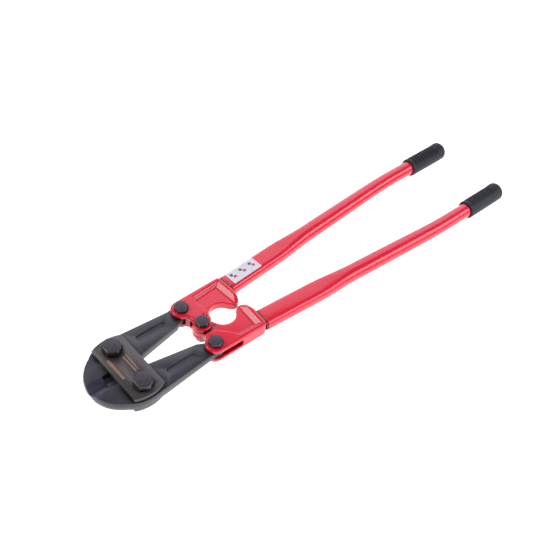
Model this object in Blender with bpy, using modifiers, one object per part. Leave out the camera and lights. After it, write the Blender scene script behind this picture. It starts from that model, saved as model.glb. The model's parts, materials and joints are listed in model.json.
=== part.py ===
"""Bolt cutters, 36 inch class, lying flat with the jaws closed.

Long axis along X with the jaws at -X and the grips at +X, +Z up.  Left and right
are seen from the grips with the jaws pointing away, so right is +Y.
The design is drawn around the centre pivot; one empty then lifts it so that the
model's origin is at the middle of the underside of its bounding box.
"""
from math import asin, atan2, cos, degrees, hypot, pi, radians, sin, sqrt

import bmesh
import bpy
from mathutils import Matrix, Vector

MM = 0.001
GAP = 0.0003                                   # clearance between pieces that touch

# Pivots, in the plane of the tool, for the right-hand side
JAW_PIVOT = Vector((-151 * MM, 43 * MM))
TAIL_PIVOT = Vector((-8.6 * MM, 46.8 * MM))

# Jaws
JAW_CENTRE_X = -162.6 * MM                     # centre of the round front of the closed jaws
JAW_ROUND = 61.7 * MM
JAW_DRAFT = 1.3 * MM                           # the front is widest at its parting line
JAW_HALF = 7.8 * MM                             # half thickness between the straps
TAIL_HALF = 6.2 * MM                           # half thickness in the handle fork
TAIL_ROUND = 15 * MM
BLADE_REAR_X = -192 * MM                       # where the cutting edge ends at the throat
THROAT_REAR_X = -174 * MM                      # hidden between the straps
BEVEL_WIDTH = 13.5 * MM
BEVEL_DEPTH = 6.6 * MM

# Straps
STRAP_FRONT_X = -180 * MM
STRAP_REAR_X = -122 * MM
STRAP_CENTRE_X = (STRAP_FRONT_X + STRAP_REAR_X) / 2
STRAP_ROUND = 66.5 * MM
STRAP_THICK = 8.2 * MM

# Forged handle heads
HEAD_HALF = 14 * MM
WEB_HALF = 7.2 * MM                            # half thickness of the recessed web
SLOT_HALF = 6.5 * MM
TAIL_LUG = 18.8 * MM
CENTRE_LUG = 16.4 * MM
VALLEY = 12 * MM                               # hollow between the two lugs
HOLE_X = 44 * MM
HOLE_ROUND = 23.8 * MM
NOSE_GAP = 2.6 * MM                            # each stop nose to the middle plane
NOSE_ROUND = 9.5 * MM
LUG_SWEEP = 22.6 * MM                          # room for the other head's centre lug
TONGUE_BORE = 12.6 * MM                        # eccentric play at the centre pivot

# Handles
SHOULDER_X = 90 * MM
SHOULDER_Y = 48.3 * MM
HANDLE_SLOPE = 0.0687                          # rise per run of the spread part
BEND_X = 520 * MM
TUBE_END_X = 686 * MM
TUBE_WALL = 2.5 * MM
GRIP_MOUTH_X = 599 * MM
GRIP_END_X = 700 * MM
GRIP_ROUND = 18.3 * MM

# Fasteners: shank radius, width across flats, head height, nut height
JAW_FASTENER = (10 * MM, 30 * MM, 11.5 * MM, 14 * MM)
PIVOT_FASTENER = (6 * MM, 22 * MM, 7.2 * MM, 8 * MM)
WASHER_THICK = 1.6 * MM
SIDES = 24                                     # facets round a pin or a bore

LENGTH_MIDDLE = (GRIP_END_X + JAW_CENTRE_X - JAW_ROUND) / 2
STACK_HALF = JAW_HALF + GAP + STRAP_THICK
UNDERSIDE = STACK_HALF + GAP + JAW_FASTENER[3]

PAINT = ((0.78, 0.02, 0.03, 1), 0.25, 0.0)
FORGED = ((0.055, 0.047, 0.045, 1), 0.45, 0.8)
BOLT = ((0.045, 0.045, 0.055, 1), 0.4, 0.9)
RUBBER = ((0.02, 0.022, 0.03, 1), 0.6, 0.0)
PAPER = ((0.85, 0.85, 0.84, 1), 0.5, 0.0)


def clear_scene():
    for obj in list(bpy.data.objects):
        bpy.data.objects.remove(obj)


def new_collection(name):
    collection = bpy.data.collections.new(name)
    bpy.context.scene.collection.children.link(collection)
    return collection


def material(name, look):
    colour, roughness, metallic = look
    made = bpy.data.materials.new(name)
    made.use_nodes = True
    shader = made.node_tree.nodes["Principled BSDF"]
    shader.inputs["Base Color"].default_value = colour
    shader.inputs["Roughness"].default_value = roughness
    shader.inputs["Metallic"].default_value = metallic
    return made


def empty(name, place, parent=None):
    """A pivot empty at a place given in design coordinates."""
    pivot = bpy.data.objects.new(name, None)
    PARTS.objects.link(pivot)
    pivot["place"] = Vector(place)
    pivot.parent = parent
    pivot.location = pivot["place"]
    if parent:
        pivot.location = Vector(place) - Vector(parent["place"])
    return pivot


# ---------------------------------------------------------------- shapes

def mesh_object(name, bm):
    bmesh.ops.recalc_face_normals(bm, faces=bm.faces)
    mesh = bpy.data.meshes.new(name)
    bm.to_mesh(mesh)
    bm.free()
    obj = bpy.data.objects.new(name, mesh)
    CUTTERS.objects.link(obj)
    return obj


def arc(x, y, radius, start, end, steps):
    """Points on an arc, angles in degrees."""
    angles = [radians(start + (end - start) * i / steps) for i in range(steps + 1)]
    return [(x + radius * cos(a), y + radius * sin(a)) for a in angles]


def rounded_corner(before, corner, after, radius, steps=4):
    """An arc of the radius that rounds one corner of an outline."""
    corner = Vector(corner)
    one = (Vector(before) - corner).normalized()
    two = (Vector(after) - corner).normalized()
    half = one.angle(two) / 2
    centre = corner + (one + two).normalized() * radius / sin(half)
    reach = sqrt((centre - corner).length ** 2 - radius ** 2)
    first = corner + one * reach - centre
    turn = first.angle_signed(corner + two * reach - centre)
    return [tuple(centre + Matrix.Rotation(-turn * i / steps, 2) @ first) for i in range(steps + 1)]


def plate(name, outline, low, high):
    """A flat outline, as a filled 2D curve, extruded from low to high."""
    curve = bpy.data.curves.new(name, "CURVE")
    curve.dimensions = "2D"
    curve.fill_mode = "BOTH"
    curve.extrude = (high - low) / 2
    spline = curve.splines.new("POLY")
    spline.points.add(len(outline) - 1)
    for point, (x, y) in zip(spline.points, outline):
        point.co = (x, y, 0, 1)
    spline.use_cyclic_u = True
    drawn = bpy.data.objects.new(name, curve)
    drawn.location.z = (high + low) / 2
    CUTTERS.objects.link(drawn)
    bpy.context.view_layer.update()
    solid = bpy.data.meshes.new_from_object(drawn.evaluated_get(bpy.context.evaluated_depsgraph_get()))
    solid.transform(drawn.matrix_world)
    bpy.data.objects.remove(drawn)
    bm = bmesh.new()
    bm.from_mesh(solid)
    bmesh.ops.remove_doubles(bm, verts=bm.verts, dist=1e-6)
    return mesh_object(name, bm)


def cylinder(name, place, radius, low, high, sides=SIDES, top_radius=None):
    bm = bmesh.new()
    top = radius if top_radius is None else top_radius
    bmesh.ops.create_cone(bm, cap_ends=True, segments=sides, radius1=radius, radius2=top,
                          depth=high - low)
    bmesh.ops.translate(bm, verts=bm.verts, vec=(place[0], place[1], (low + high) / 2))
    return mesh_object(name, bm)


def loft(name, rings, hollow=False):
    """Skin over rings of points; hollow joins the last ring back to the first."""
    bm = bmesh.new()
    made = [[bm.verts.new(point) for point in ring] for ring in rings]
    pairs = list(zip(made, made[1:]))
    if hollow:
        pairs.append((made[-1], made[0]))
    else:
        bm.faces.new(made[0])
        bm.faces.new(made[-1])
    for one, two in pairs:
        for i in range(len(one)):
            j = (i + 1) % len(one)
            bm.faces.new((one[i], one[j], two[j], two[i]))
    return mesh_object(name, bm)


def combine(obj, others, operation="DIFFERENCE"):
    """Boolean the others into obj and apply it."""
    for other in others:
        modifier = obj.modifiers.new(operation.title(), "BOOLEAN")
        modifier.operation = operation
        modifier.object = other
    bpy.context.view_layer.update()
    result = bpy.data.meshes.new_from_object(obj.evaluated_get(bpy.context.evaluated_depsgraph_get()))
    obj.modifiers.clear()
    obj.data = result
    for other in others:
        bpy.data.objects.remove(other)
    return obj


def chamfer_rim(obj, height, width, segments=1):
    """Round the outline of a plate at its top and bottom faces."""
    bm = bmesh.new()
    bm.from_mesh(obj.data)
    bmesh.ops.dissolve_limit(bm, angle_limit=radians(1), verts=bm.verts, edges=bm.edges)
    rim = [e for e in bm.edges if e.calc_face_angle() > 1
           and all(abs(abs(v.co.z) - height) < 1e-6 for v in e.verts)]
    bmesh.ops.bevel(bm, geom=rim, offset=width, segments=segments, profile=0.5, affect="EDGES")
    bm.to_mesh(obj.data)
    bm.free()
    return obj


def mirrored(outline):
    return [(x, -y) for x, y in reversed(outline)]


def sided(outline, side):
    """The outline of a right-hand piece, or its mirror image for the left."""
    return outline if side > 0 else mirrored(outline)


def place_of(pivot, side):
    return (pivot.x, side * pivot.y)


def finish(obj, name, look, parent):
    """Name the piece, give it its material and hang it on its pivot empty."""
    obj.name = name
    obj.data.name = name
    obj.data.materials.clear()
    obj.data.materials.append(material(name, look))
    obj.data.shade_smooth()
    obj.data.set_sharp_from_angle(angle=radians(30))
    CUTTERS.objects.unlink(obj)
    PARTS.objects.link(obj)
    obj.parent = parent
    obj.location = -Vector(parent["place"])
    return obj


# ---------------------------------------------------------------- jaws and straps

def jaw_outline():
    """Right-hand jaw: round front, shoulder beside the strap, tapering shank, round tail."""
    tip = (JAW_CENTRE_X - JAW_ROUND, GAP / 2)
    front = arc(-151.8 * MM, 7.6 * MM, 61 * MM, 85.5, 124, 7)
    front += arc(JAW_CENTRE_X, 0, JAW_ROUND, 115, 180, 11)[:-1]
    throat = [tip, (THROAT_REAR_X, GAP / 2), (THROAT_REAR_X + 2 * MM, 6 * MM), (JAW_PIVOT.x, 6 * MM)]
    hip, heel = (-32 * MM, 25.4 * MM), (-22 * MM, 31 * MM)
    under = (TAIL_PIVOT.x - 2 * MM, TAIL_PIVOT.y - TAIL_ROUND)
    tail = arc(TAIL_PIVOT.x, TAIL_PIVOT.y, TAIL_ROUND, -90, 105, 14)
    shank = [(-117 * MM, 11 * MM), hip] + rounded_corner(hip, heel, under, 8 * MM)
    return front + throat + shank + tail + [(-30 * MM, 59.6 * MM)]


def draft_front(jaw):
    """Split the round front at its parting line and lean both halves of it inward."""
    bm = bmesh.new()
    bm.from_mesh(jaw.data)
    bmesh.ops.bisect_plane(bm, geom=bm.verts[:] + bm.edges[:] + bm.faces[:],
                           plane_co=(0, 0, 0), plane_no=(0, 0, 1))
    for vert in bm.verts:
        out = vert.co.xy - Vector((JAW_CENTRE_X, 0))
        if abs(vert.co.z) > MM and out.x < 0 and out.length > JAW_ROUND - MM:
            share = min(max((-out.x - 18 * MM) / (20 * MM), 0), 1)
            vert.co.xy -= out.normalized() * JAW_DRAFT * share
    bm.to_mesh(jaw.data)
    bm.free()
    return jaw


def shank_taper(side, face):
    """Wedge that thins the shank from the strap to the tail, on one face."""
    near, fork, far = -119 * MM, -30 * MM, 12 * MM
    over = JAW_HALF + MM
    profile = [(near, JAW_HALF), (fork, TAIL_HALF), (far, TAIL_HALF), (far, over), (near, over)]
    rings = [[(x, y, face * z) for x, z in profile] for y in (-5 * MM * side, 90 * MM * side)]
    return loft("taper", rings)


def blade_bevel(side, face):
    """Wedge that grinds one face of the cutting edge."""
    low = JAW_HALF - BEVEL_DEPTH
    over = 2 * MM
    slope = BEVEL_DEPTH / BEVEL_WIDTH
    profile = [(-over, low - over * slope), (BEVEL_WIDTH, JAW_HALF),
               (BEVEL_WIDTH, JAW_HALF + over), (-over, JAW_HALF + over)]
    ends = (JAW_CENTRE_X - JAW_ROUND - over, BLADE_REAR_X)
    rings = [[(x, side * y, face * z) for y, z in profile] for x in ends]
    return loft("bevel", rings)


def throat_relief(side, face):
    """Square pocket behind the cutting edge that runs on under the strap."""
    front, rear = BLADE_REAR_X - 0.1 * MM, THROAT_REAR_X + 4 * MM
    outline = [(front, -2 * MM), (rear, -2 * MM), (rear, BEVEL_WIDTH), (front, BEVEL_WIDTH)]
    low, high = JAW_HALF - BEVEL_DEPTH, JAW_HALF + MM
    return plate("relief", sided(outline, side), *sorted((face * low, face * high)))


def shank_pocket(side, face):
    """Long shallow pocket forged in the shank."""
    y = 42 * MM
    ends = arc(-53 * MM, y, 6 * MM, -90, 90, 8) + arc(-99 * MM, y, 6 * MM, 90, 270, 8)
    low, high = 5.4 * MM, 9 * MM
    return plate("pocket", sided(ends, side), *sorted((face * low, face * high)))


def make_jaw(side, name, parent):
    jaw = draft_front(plate(name, sided(jaw_outline(), side), -JAW_HALF, JAW_HALF))
    makers = (shank_taper, blade_bevel, throat_relief, shank_pocket)
    cutters = [make(side, face) for make in makers for face in (1, -1)]
    for pivot, radius in ((JAW_PIVOT, JAW_FASTENER[0]), (TAIL_PIVOT, PIVOT_FASTENER[0])):
        cutters.append(cylinder("bore", place_of(pivot, side), radius + GAP, -JAW_HALF - MM, JAW_HALF + MM))
    return finish(combine(jaw, cutters), name, FORGED, parent)


def make_strap(name, low, parent):
    """Strap with straight sides and round ends that joins the two jaw bolts."""
    half = degrees(asin((STRAP_REAR_X - STRAP_CENTRE_X) / STRAP_ROUND))
    end = arc(STRAP_CENTRE_X, 0, STRAP_ROUND, 90 - half, 90 + half, 8)
    strap = plate(name, end + mirrored(end), low, low + STRAP_THICK)
    bores = [cylinder("bore", place_of(JAW_PIVOT, side), JAW_FASTENER[0] + GAP, low - MM,
                      low + STRAP_THICK + MM) for side in (1, -1)]
    return finish(combine(strap, bores), name, FORGED, parent)


# ---------------------------------------------------------------- fasteners

def chamfered_hex(name, place, width, low, high, chamfer_top, chamfer_bottom=False):
    """Hexagonal head with its corners turned off."""
    block = cylinder(name, place, width / sqrt(3), low, high, sides=6)
    tools = []
    steep = 0.28 * width
    if chamfer_top:
        tools.append(cylinder("turned", place, width / 2 + steep, high - steep * 0.6 - (high - low) * 2,
                              high, top_radius=width * 0.47))
    if chamfer_bottom:
        tools.append(cylinder("turned", place, width * 0.47, low, low + steep * 0.6 + (high - low) * 2,
                              top_radius=width / 2 + steep))
    return combine(block, tools, "INTERSECT")


def make_bolt(name, place, sizes, seat, end, parent):
    """Hexagon bolt whose head sits at seat and whose shank reaches down to end."""
    radius, width, head, _ = sizes
    bolt = chamfered_hex(name, place, width, seat + GAP, seat + GAP + head, True)
    shank = cylinder("shank", place, radius, end, seat + MM)
    return finish(combine(bolt, [shank], "UNION"), name, BOLT, parent)


def make_nut(name, place, sizes, seat, parent):
    """Hexagon nut whose upper face meets seat from below."""
    radius, width, _, height = sizes
    nut = chamfered_hex(name, place, width, seat - GAP - height, seat - GAP, False, True)
    bore = cylinder("bore", place, radius + GAP, seat - height - 2 * MM, seat + MM)
    return finish(combine(nut, [bore]), name, BOLT, parent)


def make_washer(name, place, seat, parent):
    radius = PIVOT_FASTENER[0]
    washer = cylinder(name, place, 12 * MM, seat - GAP - WASHER_THICK, seat - GAP)
    bore = cylinder("bore", place, radius + GAP, seat - 4 * MM, seat + MM)
    return finish(combine(washer, [bore]), name, BOLT, parent)


def make_pivot_set(prefix, suffix, place, parent):
    """Bolt, washer and nut through a forged head."""
    nut_seat = -HEAD_HALF - GAP - WASHER_THICK
    end = nut_seat - PIVOT_FASTENER[3] + MM
    make_bolt(prefix + "_bolt" + suffix, place, PIVOT_FASTENER, HEAD_HALF, end, parent)
    make_washer(prefix + "_washer" + suffix, place, -HEAD_HALF, parent)
    make_nut(prefix + "_nut" + suffix, place, PIVOT_FASTENER, nut_seat, parent)


# ---------------------------------------------------------------- forged heads

def valley_arc():
    """Hollow arc that touches both lugs on the jaw side, and the angles where it does."""
    span = TAIL_PIVOT.length
    to_centre, to_tail = CENTRE_LUG + VALLEY, TAIL_LUG + VALLEY
    along = (to_centre ** 2 - to_tail ** 2 + span ** 2) / (2 * span)
    across = sqrt(to_centre ** 2 - along ** 2)
    unit = TAIL_PIVOT.normalized()
    middle = unit * along + Vector((-unit.y, unit.x)) * across
    to_lug = TAIL_PIVOT - middle
    return middle, degrees(atan2(to_lug.y, to_lug.x)), degrees(atan2(-middle.y, -middle.x))


def head_outline():
    """Right-hand head, counter-clockwise from the outer side of the tail lug."""
    middle, at_tail, at_centre = valley_arc()
    tail = arc(TAIL_PIVOT.x, TAIL_PIVOT.y, TAIL_LUG, 88, at_tail + 180, 12)
    valley = arc(middle.x, middle.y, VALLEY, at_tail, at_centre, 6)[1:-1]
    centre = arc(0, 0, CENTRE_LUG, at_centre + 180, 345, 12)
    hole = arc(HOLE_X, 0, HOLE_ROUND, 176, 24, 13)
    nose = arc(77.5 * MM, NOSE_GAP + NOSE_ROUND, NOSE_ROUND, 225, 345, 8)
    inner = shoulder_point(-20 * MM)
    outer = rounded_corner(inner, shoulder_point(18.4 * MM), tail[0], 7 * MM)
    return tail + valley + centre + hole + nose + [inner] + outer


def shoulder_point(across, along=0.0):
    """A point on the shoulder that the tube butts against, across the handle's axis."""
    length = hypot(1, HANDLE_SLOPE)
    return (SHOULDER_X + (along - across * HANDLE_SLOPE) / length,
            SHOULDER_Y + (across + along * HANDLE_SLOPE) / length)


def recess(side, face, plateau_line, web):
    """Recess in one face of a head, with sloping walls to the rim and the shoulder block."""
    rim_low, rim_high = 7 * MM, 12 * MM
    block_low, block_high = -17 * MM, -8 * MM
    floor = plateau_line + [shoulder_point(rim_low, block_low), shoulder_point(-60 * MM, block_low)]
    wall = 1.2 * MM
    start = Vector(plateau_line[-1])
    rim_start = (start.x - wall, start.y + rim_high - rim_low)
    top = [(x - wall, y) for x, y in plateau_line[:-1]] + [rim_start]
    top += [shoulder_point(rim_high, block_high), shoulder_point(-60 * MM, block_high)]
    grow = 1.25
    over = [Vector(f).lerp(Vector(t), grow) for f, t in zip(floor, top)]
    high = web + (HEAD_HALF - web) * grow
    rings = [[(x, side * y, face * web) for x, y in floor],
             [(x, side * y, face * high) for x, y in over]]
    return loft("recess", rings)


def nose_slope(side, face):
    """Wedge that thins the stop nose towards the middle plane."""
    profile = [(-5 * MM, 3.2 * MM), (18 * MM, HEAD_HALF), (18 * MM, 20 * MM), (-5 * MM, 20 * MM)]
    rings = [[(x, side * y, face * z) for y, z in profile] for x in (55 * MM, 105 * MM)]
    return loft("nose_slope", rings)


def jaw_slot(side):
    """Fork slot for the jaw's tail, open to the front and to the outer side."""
    around = arc(TAIL_PIVOT.x, TAIL_PIVOT.y, TAIL_LUG - 0.4 * MM, 270, 366, 8)
    outline = [(-40 * MM, TAIL_PIVOT.y - TAIL_LUG + 0.4 * MM)] + around
    outline += [(32 * MM, 52 * MM), (36 * MM, 56 * MM), (36 * MM, 85 * MM), (-40 * MM, 85 * MM)]
    return plate("slot", sided(outline, side), -SLOT_HALF, SLOT_HALF)


def tang(side):
    """Stub that the handle tube is pressed on."""
    rings = []
    for along in (-4 * MM, 52 * MM, 55 * MM):
        shrink = 0.85 if along > 53 * MM else 1
        ring = []
        for y, z in rounded_box(16 * MM * shrink, 9 * MM * shrink, 6.6 * MM * shrink):
            x, at = shoulder_point(y, along)
            ring.append((x, side * at, z))
        rings.append(ring)
    return loft("tang", rings)


def rounded_box(half_width, half_height, radius, steps=4):
    """Section of a flattened tube, one arc for each corner."""
    ring = []
    for i, (sy, sz) in enumerate(((1, 1), (-1, 1), (-1, -1), (1, -1))):
        ring += arc(sy * (half_width - radius), sz * (half_height - radius), radius,
                    90 * i, 90 * i + 90, steps)
    return ring


def head_blank(side, name):
    head = plate(name, sided(head_outline(), side), -HEAD_HALF, HEAD_HALF)
    return chamfer_rim(head, HEAD_HALF, 2.6 * MM, 2)


def make_head_right(name, parent):
    """Fork head: its centre lugs lie over and under the other head's tongue."""
    head = combine(head_blank(1, name), [tang(1)], "UNION")
    line = [(33 * MM, -20 * MM), (27.5 * MM, 12 * MM), (25.5 * MM, 20 * MM), (21.5 * MM, 50.6 * MM)]
    cutters = [recess(1, face, line, WEB_HALF) for face in (1, -1)]
    cutters += [nose_slope(1, face) for face in (1, -1)]
    cutters.append(jaw_slot(1))
    cutters.append(cylinder("tongue_slot", (0, 0), LUG_SWEEP, -SLOT_HALF, SLOT_HALF, 32))
    for place in ((0, 0), place_of(TAIL_PIVOT, 1)):
        cutters.append(cylinder("bore", place, PIVOT_FASTENER[0] + GAP, -20 * MM, 20 * MM))
    cutters.append(cylinder("pin_hole", LOCK_PIN, 2.5 * MM + GAP, 9 * MM, 20 * MM, 12))
    return finish(combine(head, cutters), name, PAINT, parent)


def make_head_left(name, parent):
    """Tongue head: its centre lug is thinned to run inside the fork of the other head."""
    head = combine(head_blank(-1, name), [tang(-1)], "UNION")
    line = [(-10 * MM, 10 * MM), (6.5 * MM, 21 * MM), (29 * MM, 43.5 * MM), (36 * MM, 51.6 * MM)]
    cutters = [recess(-1, face, line, WEB_HALF) for face in (1, -1)]
    cutters += [nose_slope(-1, face) for face in (1, -1)]
    cutters.append(jaw_slot(-1))
    for low, high in ((TAIL_HALF, 20 * MM), (-20 * MM, -TAIL_HALF)):
        cutters.append(cylinder("lug_sweep", (0, 0), LUG_SWEEP, low, high, 32))
    cutters.append(cylinder("tongue_bore", (0, 0), TONGUE_BORE, -20 * MM, 20 * MM, 32))
    cutters.append(cylinder("bore", place_of(TAIL_PIVOT, -1), PIVOT_FASTENER[0] + GAP, -20 * MM, 20 * MM))
    return finish(combine(head, cutters), name, PAINT, parent)


LOCK_PIN = (14 * MM, 10.5 * MM)


def make_lock_pin(name, parent):
    pin = cylinder(name, LOCK_PIN, 2.5 * MM, 9.3 * MM, HEAD_HALF + 1.6 * MM, 12)
    return finish(pin, name, BOLT, parent)


# ---------------------------------------------------------------- handles

def handle_axis(x):
    """Height of the handle's axis over the middle plane, and its slope, at x."""
    blend = 40 * MM
    straight = SHOULDER_Y + HANDLE_SLOPE * (x - SHOULDER_X)
    start = BEND_X - blend
    if x <= start:
        return straight, HANDLE_SLOPE
    run = min(x, BEND_X + blend) - start
    slope = HANDLE_SLOPE * (1 - run / (2 * blend))
    rise = HANDLE_SLOPE * (run - run * run / (4 * blend))
    return SHOULDER_Y + HANDLE_SLOPE * (start - SHOULDER_X) + rise, slope


def tube_section(x):
    """Half width, half height and corner radius: flat at the head, round at the grip."""
    stations = ((210, 19.2, 12.2, 9.4), (300, 15.7, 14.8, 14.2), (590, 14, 14, 13.9))
    x_mm = x / MM
    if x_mm <= stations[0][0]:
        return [value * MM for value in stations[0][1:]]
    for one, two in zip(stations, stations[1:]):
        if x_mm <= two[0]:
            t = (x_mm - one[0]) / (two[0] - one[0])
            t = t * t * (3 - 2 * t)
            return [(a + (b - a) * t) * MM for a, b in zip(one[1:], two[1:])]
    return [value * MM for value in stations[-1][1:]]


def tube_ring(x, inset, side):
    width, height, radius = tube_section(x)
    y, slope = handle_axis(x)
    length = hypot(1, slope)
    return [(x - across * slope / length, side * (y + across / length), z)
            for across, z in rounded_box(width - inset, height - inset, radius - inset)]


def make_tube(side, name, parent):
    """Steel tube, flattened over the head's tang and round at the grip."""
    start = SHOULDER_X + GAP
    stations = [start] + [x * MM for x in (150, 210, 228, 246, 264, 282, 300, 380, 440, 475, 495,
                                           515, 535, 555, 590)] + [TUBE_END_X]
    outer = [tube_ring(x, 0, side) for x in stations]
    inner = [tube_ring(x, TUBE_WALL, side) for x in reversed(stations)]
    return finish(loft(name, outer + inner, hollow=True), name, PAINT, parent)


def make_grip(side, name, parent):
    """Rubber sleeve with a closed, rounded end, turned about the tube's axis."""
    bore = 14 * MM + GAP
    end_round = 8 * MM
    corner = arc(GRIP_ROUND - end_round, GRIP_END_X - end_round, end_round, 90, 0, 4)
    profile = [(0, GRIP_END_X)] + corner
    profile += [(GRIP_ROUND, GRIP_MOUTH_X + 2 * MM), (GRIP_ROUND - 1.5 * MM, GRIP_MOUTH_X),
                (bore, GRIP_MOUTH_X), (bore, TUBE_END_X + GAP), (0, TUBE_END_X + GAP)]
    mesh = bpy.data.meshes.new(name)
    edges = [(i, i + 1) for i in range(len(profile) - 1)]
    mesh.from_pydata([(radius, 0, x) for radius, x in profile], edges, [])
    turned = bpy.data.objects.new(name, mesh)
    CUTTERS.objects.link(turned)
    screw = turned.modifiers.new("Turn", "SCREW")
    screw.axis = "Z"
    screw.steps = screw.render_steps = SIDES
    screw.use_merge_vertices = True
    screw.merge_threshold = 1e-5
    bpy.context.view_layer.update()
    sleeve = bpy.data.meshes.new_from_object(turned.evaluated_get(bpy.context.evaluated_depsgraph_get()))
    bpy.data.objects.remove(turned)
    to_axis = Matrix.Translation((0, side * GRIP_Y, 0)) @ Matrix.Rotation(pi / 2, 4, "Y")
    sleeve.transform(to_axis)
    bm = bmesh.new()
    bm.from_mesh(sleeve)
    bmesh.ops.remove_doubles(bm, verts=bm.verts, dist=1e-6)
    return finish(mesh_object(name, bm), name, RUBBER, parent)


def make_label(name, parent):
    """Paper label wrapped over the flat top of the right-hand tube."""
    width, height, radius = tube_section(SHOULDER_X)
    def strip(out):
        corner = arc(width - radius, height - radius, radius + out, 55, 90, 4)
        return corner + [(-(width - radius) - 3 * MM, height + out)]
    section = strip(2 * GAP) + list(reversed(strip(GAP)))
    rings = []
    for along in (11 * MM, 77 * MM):
        rings.append([(*shoulder_point(across, along), z) for across, z in section])
    return finish(loft(name, rings), name, PAPER, parent)


# ---------------------------------------------------------------- assembly

clear_scene()
PARTS = new_collection("bolt_cutters")
CUTTERS = new_collection("cutters")
GRIP_Y = handle_axis(GRIP_MOUTH_X)[0]

assembly = empty("assembly", (0, 0, 0))
make_strap("top_strap", JAW_HALF + GAP, assembly)
make_strap("bottom_strap", -STACK_HALF, assembly)
for side, suffix in ((1, "_right"), (-1, "_left")):
    place = place_of(JAW_PIVOT, side)
    bolt_end = -STACK_HALF - GAP - JAW_FASTENER[3] + MM
    make_bolt("jaw_bolt" + suffix, place, JAW_FASTENER, STACK_HALF, bolt_end, assembly)
    make_nut("jaw_nut" + suffix, place, JAW_FASTENER, -STACK_HALF, assembly)
    jaw_pivot = empty("jaw_pivot" + suffix, (*place, 0), assembly)
    make_jaw(side, "jaw" + suffix, jaw_pivot)
    tail = place_of(TAIL_PIVOT, side)
    handle_pivot = empty("handle_pivot" + suffix, (*tail, 0), jaw_pivot)
    make_pivot_set("tail", suffix, tail, handle_pivot)
    make_tube(side, "handle_tube" + suffix, handle_pivot)
    make_grip(side, "grip" + suffix, handle_pivot)
    if side > 0:
        make_head_right("head_right", handle_pivot)
        make_pivot_set("centre", "", (0, 0), handle_pivot)
        make_lock_pin("centre_lock_pin", handle_pivot)
        make_label("rating_label", handle_pivot)
    else:
        make_head_left("head_left", handle_pivot)
assembly.location = (-LENGTH_MIDDLE, 0, UNDERSIDE)
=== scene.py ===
"""Bolt cutters of the 36 inch class, closed and lying flat in a plain studio.

Millimetres in the text below are turned to metres by MM.  The tool's own zero is the
centre pivot, in the middle plane of the jaws, with the jaws towards -X.
"""
import json
from math import cos, hypot, pi, radians, sin, tan

import bmesh
import bpy
from mathutils import Matrix, Vector


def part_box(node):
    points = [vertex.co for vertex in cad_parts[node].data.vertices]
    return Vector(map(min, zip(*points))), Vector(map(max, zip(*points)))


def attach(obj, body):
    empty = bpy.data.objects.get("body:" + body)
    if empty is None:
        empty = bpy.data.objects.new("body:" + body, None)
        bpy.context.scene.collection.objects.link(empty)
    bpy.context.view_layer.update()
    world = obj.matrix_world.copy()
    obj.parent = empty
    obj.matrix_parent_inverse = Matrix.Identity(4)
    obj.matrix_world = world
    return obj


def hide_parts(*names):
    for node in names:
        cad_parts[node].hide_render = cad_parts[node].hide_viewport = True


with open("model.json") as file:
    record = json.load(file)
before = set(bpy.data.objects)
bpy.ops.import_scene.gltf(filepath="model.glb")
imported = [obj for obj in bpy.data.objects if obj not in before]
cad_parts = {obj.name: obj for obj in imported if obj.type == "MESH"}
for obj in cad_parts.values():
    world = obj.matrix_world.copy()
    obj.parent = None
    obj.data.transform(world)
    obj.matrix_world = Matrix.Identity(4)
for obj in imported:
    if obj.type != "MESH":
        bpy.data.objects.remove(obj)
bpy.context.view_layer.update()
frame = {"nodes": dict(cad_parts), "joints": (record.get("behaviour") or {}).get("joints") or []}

MM = 0.001
low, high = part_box("centre_bolt")
PIVOT = Vector(((low.x + high.x) / 2, (low.y + high.y) / 2, frame["joints"][0]["pos_m"][2]))


# ---------------------------------------------------------------- studio
# A long lens looks down on the tool from in front of the jaws and to the left.
# White sweep floor, soft boxes behind the jaws, behind the tool and beside the left
# handle, a much weaker one in front; the horizon is a little brighter than overhead.

def aim(obj, target, azimuth, elevation, distance, roll=0.0):
    """Stand obj off from target and point its -Z at it; azimuth 0 looks along +Y."""
    a, e, r = radians(azimuth), radians(elevation), radians(roll)
    back = Vector((sin(a) * cos(e), -cos(a) * cos(e), sin(e)))
    across = Vector((cos(a), sin(a), 0))
    over = back.cross(across)
    right, up = across * cos(r) + over * sin(r), over * cos(r) - across * sin(r)
    turned = Matrix((right, up, back)).transposed().to_4x4()
    turned.translation = Vector(target) + back * distance
    obj.matrix_world = turned
    bpy.context.scene.collection.objects.link(obj)
    return obj


camera = bpy.data.objects.new("camera", bpy.data.cameras.new("camera"))
camera.data.sensor_width = 36
camera.data.lens = 59.49
aim(camera, PIVOT + Vector((180.36, 17.71, 0)) * MM, -46.75, 46.95, 1.63307, 7.34)
camera.data.clip_start = 0.05
bpy.context.scene.camera = camera
bpy.context.scene.view_settings.view_transform = "Standard"
bpy.context.scene.view_settings.exposure = 0.26


def srgb(code, alpha=1.0):
    """Linear colour from a hex code such as d9101c."""
    parts = [int(code[i:i + 2], 16) / 255 for i in (0, 2, 4)]
    return [c / 12.92 if c <= 0.04045 else ((c + 0.055) / 1.055) ** 2.4 for c in parts] + [alpha]


def soft_box(name, target, azimuth, elevation, distance, size, watts, colour="ffffff"):
    light = bpy.data.lights.new(name, "AREA")
    light.shape = "RECTANGLE"
    light.size, light.size_y = size
    light.energy = watts
    light.color = srgb(colour)[:3]
    return aim(bpy.data.objects.new(name, light), target, azimuth, elevation, distance)


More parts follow.
